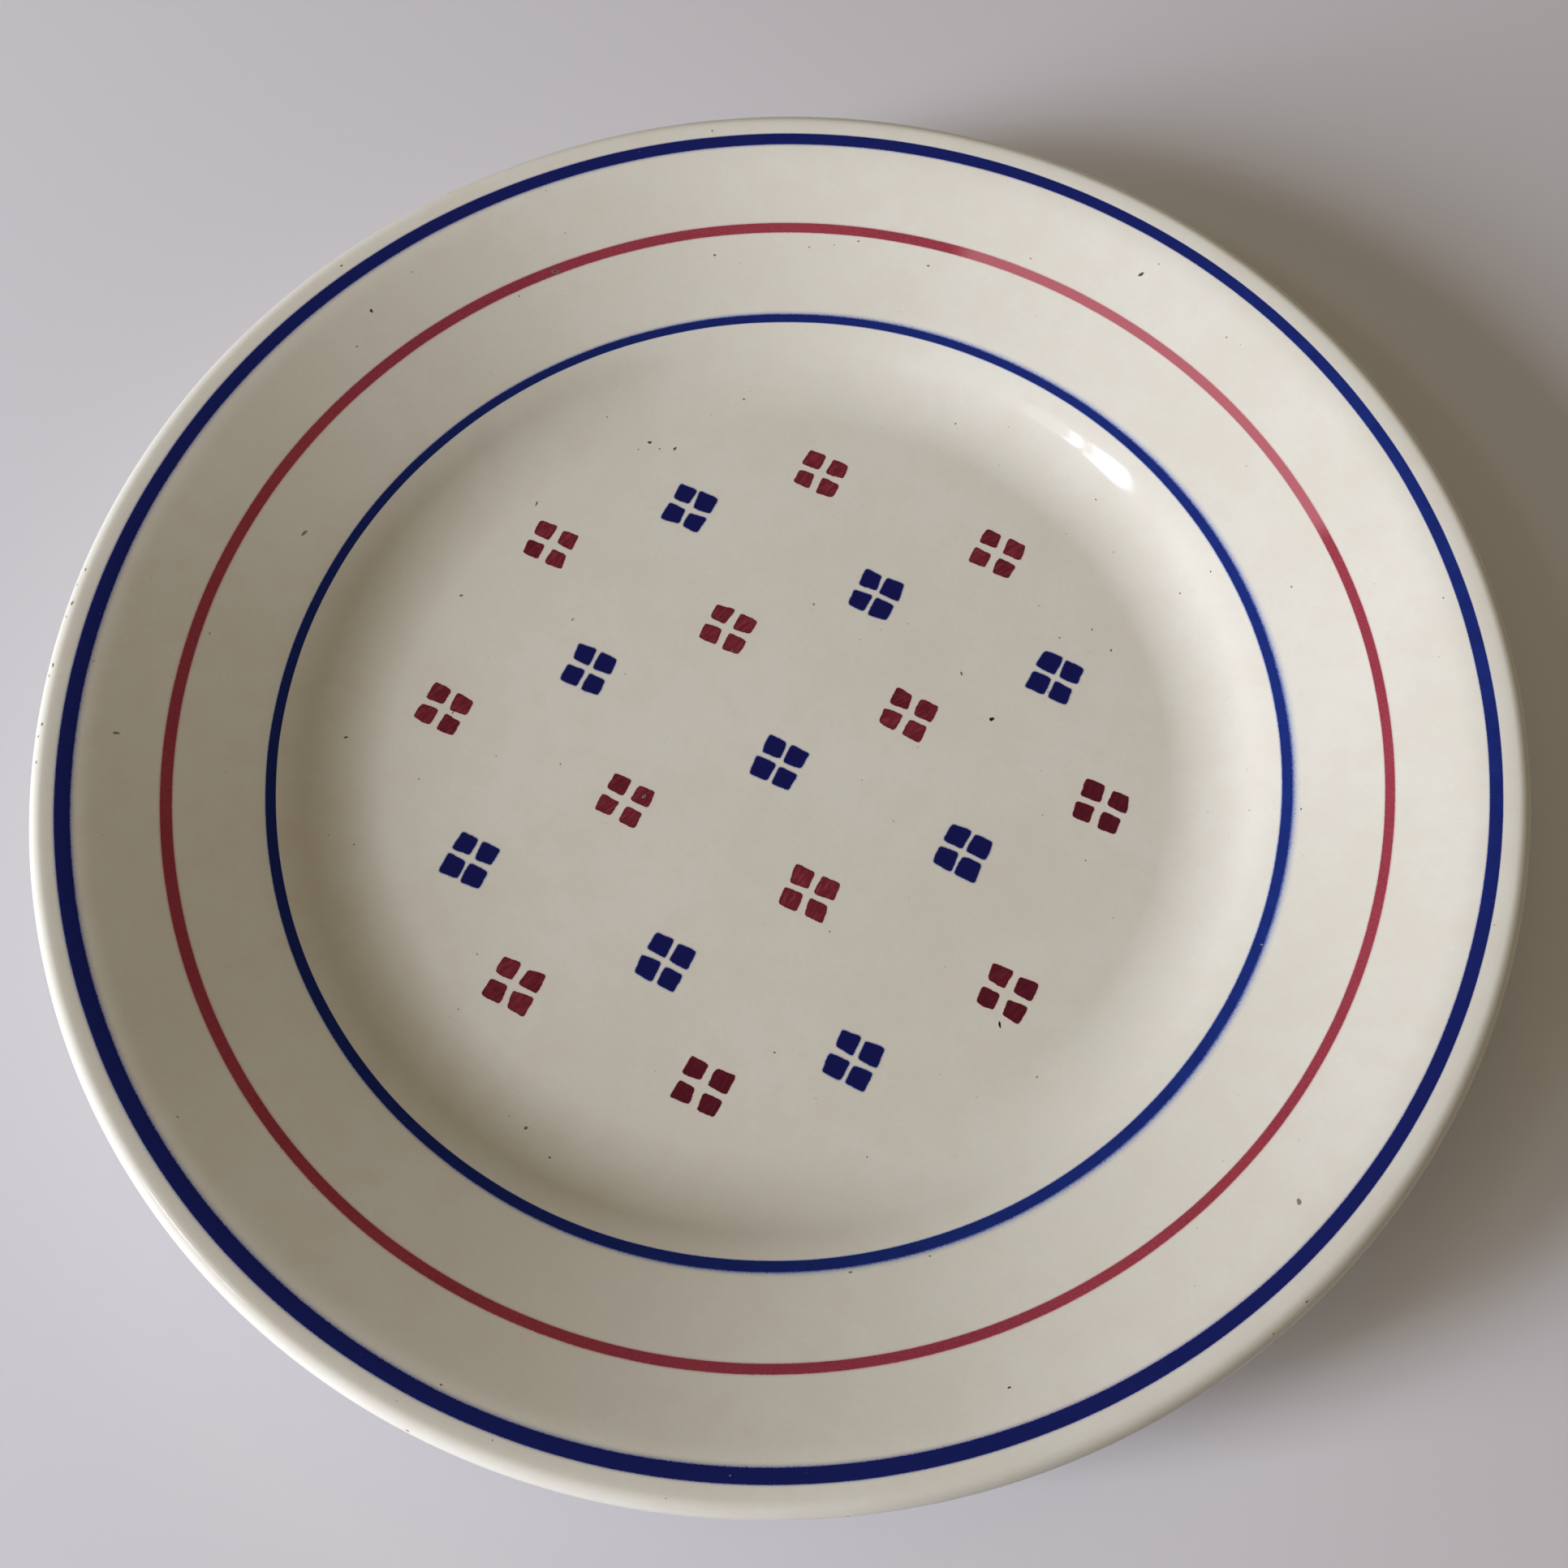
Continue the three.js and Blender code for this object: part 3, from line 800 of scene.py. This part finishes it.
big_specks = place_domes("larger_specks", BIG_SPECKS, finish["iron_speck"])

# %% [markdown]
# The lip is where a plate gets knocked. A few worn spots on one side show brown clay through the
# glaze. They are given by their side in degrees, their distance from the middle and their size.

# %% Wear the lip
LIP_WEAR = [
    (194.9, 118.4, 0.28), (196.3, 118.9, 0.2), (198.0, 118.5, 0.4), (199.2, 118.8, 0.2),
    (203.5, 118.6, 0.36), (204.4, 118.9, 0.24), (208.6, 118.4, 0.3), (209.6, 118.8, 0.22),
    (211.8, 118.6, 0.26), (338.0, 118.7, 0.22)]
worn_spots = []
for side, out, size in LIP_WEAR:
    a = math.radians(side)
    worn_spots.append((out * math.cos(a), out * math.sin(a), size, 1.35, side + 90, 0.5))
lip_wear = place_domes("lip_wear", worn_spots, finish["worn_lip"])

# %% [markdown]
# The finishes share a few moves of their own: reading a note, noise of a real size, a mix of two
# colours and a ramp of several.

# %% Short names for finishes
BLACK, WHITE = (0.0, 0.0, 0.0, 1.0), (1.0, 1.0, 1.0, 1.0)


def noted_value(tree, name):
    return put(tree, "ShaderNodeAttribute", attribute_name=name).outputs["Fac"]


def noise_at(tree, size, detail=2.0):
    """Noise with features of a size in metres, in object space."""
    place = put(tree, "ShaderNodeTexCoord")
    return put(tree, "ShaderNodeTexNoise", {
        "Vector": place.outputs["Object"], "Scale": 1 / size, "Detail": detail}).outputs[0]


def ramp(tree, value, stops):
    """Colours at positions from 0 to 1."""
    node = put(tree, "ShaderNodeValToRGB", {"Fac": value})
    while len(node.color_ramp.elements) < len(stops):
        node.color_ramp.elements.new(0.5)
    for element, (at, color) in zip(node.color_ramp.elements, stops):
        element.position, element.color = at, color
    return node


def mixed(tree, share, low, high):
    return put(tree, "ShaderNodeMix", {"Factor": share, "A": low, "B": high}, data_type="RGBA")


# %% [markdown]
# One node group gives the cream that shows through the clear glaze. Slow clouds a few centimetres
# wide, a fine grain, a faint blush and grey pinpricks keep it from being one flat colour. The
# glaze and all the fringes read it, so that a fringe fades into exactly the cream around it.

# %% The cream under the glaze
CREAM = srgb("E3E1D5")
CREAM_DEEP = srgb("D9D6C5")
CREAM_ROSE = srgb("DED4C8")
PINPRICK = srgb("A39C8C")
cream = bpy.data.node_groups.new("cream_under_glaze", "ShaderNodeTree")
cream.interface.new_socket("Color", in_out="OUTPUT", socket_type="NodeSocketColor")
where = put(cream, "ShaderNodeTexCoord").outputs["Object"]
cloud_share = remap(cream, noise_at(cream, 28 * MM, 3.0), 0.3, 0.7, 0.0, 0.5)
grain_share = remap(cream, noise_at(cream, 0.9 * MM), 0.3, 0.7, -0.12, 0.12)
deep_share = calc(cream, "ADD", cloud_share, grain_share)
deep_share.use_clamp = True
blush_share = remap(cream, noise_at(cream, 5 * MM), 0.42, 0.66, 0.0, 0.35)
mottled = mixed(cream, blush_share, mixed(cream, deep_share, CREAM, CREAM_DEEP), CREAM_ROSE)
pricks = put(cream, "ShaderNodeTexVoronoi", {"Vector": where, "Scale": 1 / (7 * MM)})
prick_chance = put(cream, "ShaderNodeSeparateColor", {"Color": pricks.outputs["Color"]})
prick_size = remap(cream, prick_chance.outputs["Red"], 0.4, 1.0, 0.0, 0.032)
prick_share = remap(cream, calc(cream, "SUBTRACT", prick_size, pricks.outputs["Distance"]),
                    -0.006, 0.012, 0.0, 0.6)
pricked = mixed(cream, prick_share, mottled, PINPRICK)
put(cream, "NodeGroupOutput", {"Color": pricked})

# %% [markdown]
# Glaze is a layer of glass, with an index of about 1.5 and almost no roughness, over clay that
# scatters light. The shader's coat is the glass, and its base, with no gloss of its own, the clay.

# %% Finish the glaze
GLASS_IOR = 1.5
GLOSS = 0.075


def glassy(tree, color):
    """A fired ceramic surface under clear glaze, with a slow swell in its gloss."""
    bump = put(tree, "ShaderNodeBump", {
        "Strength": 0.12, "Distance": 0.05 * MM, "Height": noise_at(tree, 9 * MM)})
    body = put(tree, "ShaderNodeBsdfPrincipled", {
        "Base Color": color, "Roughness": 0.9, "Specular IOR Level": 0.0, "Coat Weight": 1.0,
        "Coat Roughness": GLOSS, "Coat IOR": GLASS_IOR, "Normal": bump, "Coat Normal": bump})
    put(tree, "ShaderNodeOutputMaterial", {"Surface": body})


clear = GLAZE_FINISH.node_tree
glassy(clear, put(clear, "ShaderNodeGroup", node_tree=cream))

# %% [markdown]
# Bare clay shows only on the foot's land: matte, a little darker than the glazed face, rubbed
# grey where the plate has slid over shelves.

# %% Finish the clay
bare = finish["bare_fired_clay"].node_tree
clay_color = mixed(bare, noise_at(bare, 2.5 * MM, 4.0), srgb("C9BC9F"), srgb("9E9078"))
clay_bump = put(bare, "ShaderNodeBump", {
    "Strength": 0.5, "Distance": 0.05 * MM, "Height": noise_at(bare, 0.3 * MM, 3.0)})
clay_shader = put(bare, "ShaderNodeBsdfPrincipled", {
    "Base Color": clay_color, "Roughness": 0.85, "Normal": clay_bump})
put(bare, "ShaderNodeOutputMaterial", {"Surface": clay_shader})

# %% [markdown]
# Every painted finish reads the notes on its points. The creep is shaken by fine noise, because
# colour spreads through glaze in grains, and decides how much of the ink covers the cream.

# %% Ink over cream
SHAKE = 0.1


def crept_over_cream(tree, ink, grain_size, near_edge):
    """Ink over cream: whole inside, near_edge just past the paint's edge, nothing at the end."""
    inward = remap(tree, noted_value(tree, "inside_mm"), 0.0, 0.25, 0.0, -0.3)
    from_edge = calc(tree, "ADD", inward, noted_value(tree, "creep"))
    shake = remap(tree, noise_at(tree, grain_size), 0.25, 0.75, -SHAKE, SHAKE)
    shaken = calc(tree, "ADD", from_edge, shake)
    grey = [(v * near_edge, v * near_edge, v * near_edge, 1.0) for v in (1.0, 0.42, 0.12)]
    cover = ramp(tree, shaken, [
        (0.0, WHITE), (0.12, grey[0]), (0.35, grey[1]), (0.6, grey[2]), (0.84, BLACK)])
    glassy(tree, mixed(tree, cover, put(tree, "ShaderNodeGroup", node_tree=cream), ink))


# %% [markdown]
# Cobalt is so strong that it fires almost black-blue, and turns bright only where it thins out
# towards the fringe or where the brush ran dry.

# %% Finish the cobalt
DEEP_COBALT, COBALT, PALE_COBALT = srgb("192161"), srgb("13206A"), srgb("42559C")
THIN_COBALT = srgb("1F3482")


def cobalt(tree, deep, pale, near_edge, grain_size):
    body = mixed(tree, remap(tree, noted_value(tree, "inside_mm"), 0.0, 0.3), COBALT, deep)
    worn = calc(tree, "MULTIPLY", noted_value(tree, "thin"), noise_at(tree, 3.5 * MM, 3.0))
    body = mixed(tree, worn, body, THIN_COBALT)
    out = remap(tree, noted_value(tree, "creep"), 0.0, 0.25)
    crept_over_cream(tree, mixed(tree, out, body, pale), grain_size, near_edge)


cobalt(finish["painted_cobalt_band"].node_tree, DEEP_COBALT, PALE_COBALT, 0.62, 0.2 * MM)
cobalt(finish["crept_cobalt_band"].node_tree, srgb("1A2562"), srgb("3A63B2"), 0.85, 0.25 * MM)
cobalt(finish["stencilled_cobalt"].node_tree, srgb("171A56"), PALE_COBALT, 0.6, 0.12 * MM)

# %% [markdown]
# Crimson is thinner and shows how it was put on: the brush leaves pale streaks along its stroke,
# a heavy load fires to maroon, and colour gathers in a darker line at the edge of each square.

# %% Finish the crimson
CRIMSON, CRIMSON_PALE, MAROON = srgb("70252E"), srgb("973E4A"), srgb("581A28")
FRINGE_ROSE = srgb("BE6A78")
BAND_CRIMSON, BAND_ROSE, BAND_LAP = srgb("9A3946"), srgb("B96870"), srgb("82283A")


def streaks(tree, angle, width, length):
    """Noise drawn out along a direction in the plane of the plate."""
    place = put(tree, "ShaderNodeTexCoord")
    turned_back = put(tree, "ShaderNodeVectorRotate", {
        "Vector": place.outputs["Object"], "Angle": calc(tree, "MULTIPLY", angle, -1.0)},
        rotation_type="Z_AXIS")
    drawn = vector_calc(tree, "MULTIPLY", turned_back, (1 / length, 1 / width, 0.0))
    return put(tree, "ShaderNodeTexNoise", {
        "Vector": drawn, "Scale": 1.0, "Detail": 3.0, "Roughness": 0.65, "Distortion": 0.3}).outputs[0]


red = finish["stencilled_crimson"].node_tree
drawn_out = streaks(red, noted_value(red, "stroke"), 0.55 * MM, 2.6 * MM)
streak = remap(red, drawn_out, 0.44, 0.74, 0.0, 0.9)
tone = remap(red, noted_value(red, "tone"), 0.35, 0.6)
streak_left = calc(red, "MULTIPLY", streak, calc(red, "MULTIPLY_ADD", tone, -0.8, 1.0))
red_body = mixed(red, streak_left, mixed(red, tone, CRIMSON, MAROON), CRIMSON_PALE)
rim_dark = remap(red, noted_value(red, "inside_mm"), 0.1, 0.3, 0.6, 0.0)
in_fringe = remap(red, noted_value(red, "creep"), 0.0, 0.15)
red_ink = mixed(red, in_fringe, mixed(red, rim_dark, red_body, MAROON), FRINGE_ROSE)
crept_over_cream(red, red_ink, 0.14 * MM, 0.55)

# %% [markdown]
# In the red ring the dry stretch is rose, and the density drifts slowly all the way round.

# %% Finish the red ring
band = finish["painted_crimson_band"].node_tree
drift = remap(band, noise_at(band, 16 * MM), 0.35, 0.65, 0.0, 0.35)
band_body = mixed(band, drift, BAND_CRIMSON, BAND_LAP)
dry = calc(band, "MULTIPLY", noted_value(band, "thin"), 0.95)
band_grain = remap(band, noise_at(band, 0.35 * MM), 0.3, 0.7, 0.0, 0.2)
band_body = mixed(band, band_grain, mixed(band, dry, band_body, BAND_ROSE), BAND_ROSE)
band_fringe = remap(band, noted_value(band, "creep"), 0.0, 0.2)
crept_over_cream(band, mixed(band, band_fringe, band_body, FRINGE_ROSE), 0.2 * MM, 0.55)

# %% [markdown]
# An iron speck is nearly black where it is well burnt, and otherwise a brown or grey shadow under
# the same glaze. A worn spot on the lip is the brown of the clay with dirt in it.

# %% Finish the specks and the wear
def fading_spot(tree, spot_color):
    """A spot that is whole at its heart and fades into the cream at its rim."""
    mottle = calc(tree, "MULTIPLY", noise_at(tree, 0.3 * MM), 0.3)
    depth = calc(tree, "SUBTRACT", calc(tree, "ADD", noted_value(tree, "heart"), mottle), 0.15)
    cover = remap(tree, depth, 0.02, 0.42, interpolation_type="SMOOTHSTEP")
    glassy(tree, mixed(tree, cover, put(tree, "ShaderNodeGroup", node_tree=cream), spot_color))


speck = finish["iron_speck"].node_tree
fading_spot(speck, mixed(speck, noted_value(speck, "burn"), srgb("9A9180"), srgb("1C1917")))
wear = finish["worn_lip"].node_tree
fading_spot(wear, mixed(wear, noise_at(wear, 0.4 * MM), srgb("9C8F76"), srgb("6E624C")))

# %% [markdown]
# Each made piece now takes the place of the measured node that it stands for, and everything
# rides on the one rigid body that a plate is.

# %% Tie the pieces to the frame
stands_for = [(glaze_coat, "glaze_outer_coat", "glaze"), (foot_glaze, "glaze_foot_recess", "glaze"),
              (clay_core, "clay_body", "clay")]
painted = [(ring, name.replace("_ring", "_band")) for name, ring in rings.items()] + motifs
stands_for += [(piece, node, "crimson_red" if "red" in node else "cobalt_blue")
               for piece, node in painted]
for piece, node, slot in stands_for:
    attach(piece, "root")
    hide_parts(node)
for piece in (specks, big_specks, lip_wear):
    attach(piece, "root")
print("pieces:", len(stands_for) + 3)

# %% [markdown]
# The floor is a plain pale sheet. Nearly all the light comes from one tall window, low behind the
# viewer's left shoulder. Three small panes above it are there for the highlight that they leave
# on the shoulder of the plate, and a warm ceiling fills the shadows.

# %% Floor, light and camera
FLOOR_HALF = 3.0
CORNERS = ((-1, -1), (1, -1), (1, 1), (-1, 1))
floor_mesh = bpy.data.meshes.new("floor")
floor_mesh.from_pydata([(x * FLOOR_HALF, y * FLOOR_HALF, 0.0) for x, y in CORNERS], [], [(0, 1, 2, 3)])
floor = show("floor", floor_mesh)
paper = bpy.data.materials.new("pale_matte_paper")
paper.use_nodes = True
paper.node_tree.nodes["Principled BSDF"].inputs["Base Color"].default_value = srgb("D9D8DC")
paper.node_tree.nodes["Principled BSDF"].inputs["Roughness"].default_value = 0.9
floor_mesh.materials.append(paper)
floor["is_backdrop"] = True


def window(name, azimuth, elevation, distance, width, height, power, color):
    """A soft rectangular light that faces the plate from a direction given in degrees."""
    lamp = bpy.data.lights.new(name, "AREA")
    lamp.shape = "RECTANGLE"
    lamp.size, lamp.size_y = width, height
    lamp.energy = power
    lamp.color = srgb(color)[:3]
    holder = show(name, lamp)
    a, e = math.radians(azimuth), math.radians(elevation)
    way = Vector((math.cos(a) * math.cos(e), math.sin(a) * math.cos(e), math.sin(e)))
    holder.location = way * distance
    holder.rotation_euler = way.to_track_quat("Z", "Y").to_euler()
    return holder


DAYLIGHT, WARM_WALLS = "EFF2FF", "FFECC9"
daylight = window("tall_window", 226, 18.5, 1.6, 0.40, 0.95, 43.0, DAYLIGHT)
window("upper_pane", 223.9, 48.8, 1.6, 0.14, 0.21, 0.95, DAYLIGHT)
window("narrow_upper_pane", 231.4, 50, 1.6, 0.045, 0.15, 0.27, DAYLIGHT)
window("far_upper_pane", 238.5, 52, 1.6, 0.16, 0.14, 0.09, DAYLIGHT)
ceiling = window("pale_ceiling", 0, 90, 1.2, 1.5, 1.5, 4.5, WARM_WALLS)
ceiling.visible_glossy = daylight.visible_glossy = False
world = bpy.data.worlds.new("room")
bpy.context.scene.world = world
world.use_nodes = True
world.node_tree.nodes["Background"].inputs["Color"].default_value = srgb("FFE2BE")
world.node_tree.nodes["Background"].inputs["Strength"].default_value = 0.025
bpy.context.scene.view_settings.view_transform = "Standard"

camera_data = bpy.data.cameras.new("camera")
camera_data.lens = 40.34
camera_data.sensor_width = 36.0
camera = show("camera", camera_data)
CAMERA_AT = Vector((61.1, -92.0, 287.4)) * MM
LOOKS_AT = Vector((3.54, -3.46, 7.0)) * MM
ROLL = math.radians(-5.09)
camera.location = CAMERA_AT
aim = (CAMERA_AT - LOOKS_AT).to_track_quat("Z", "Y").to_matrix()
camera.rotation_euler = aim.to_euler()
camera.rotation_euler.rotate_axis("Z", ROLL)
bpy.context.scene.camera = camera

# %% [markdown]
# Last, both boxes are written down, so that the plate can be held against the measured one.

# %% Close
visual_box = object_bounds()
sizes = {"cad": [list(c) for c in cad_box], "visual": [list(c) for c in visual_box]}
print("boxes:", sizes)
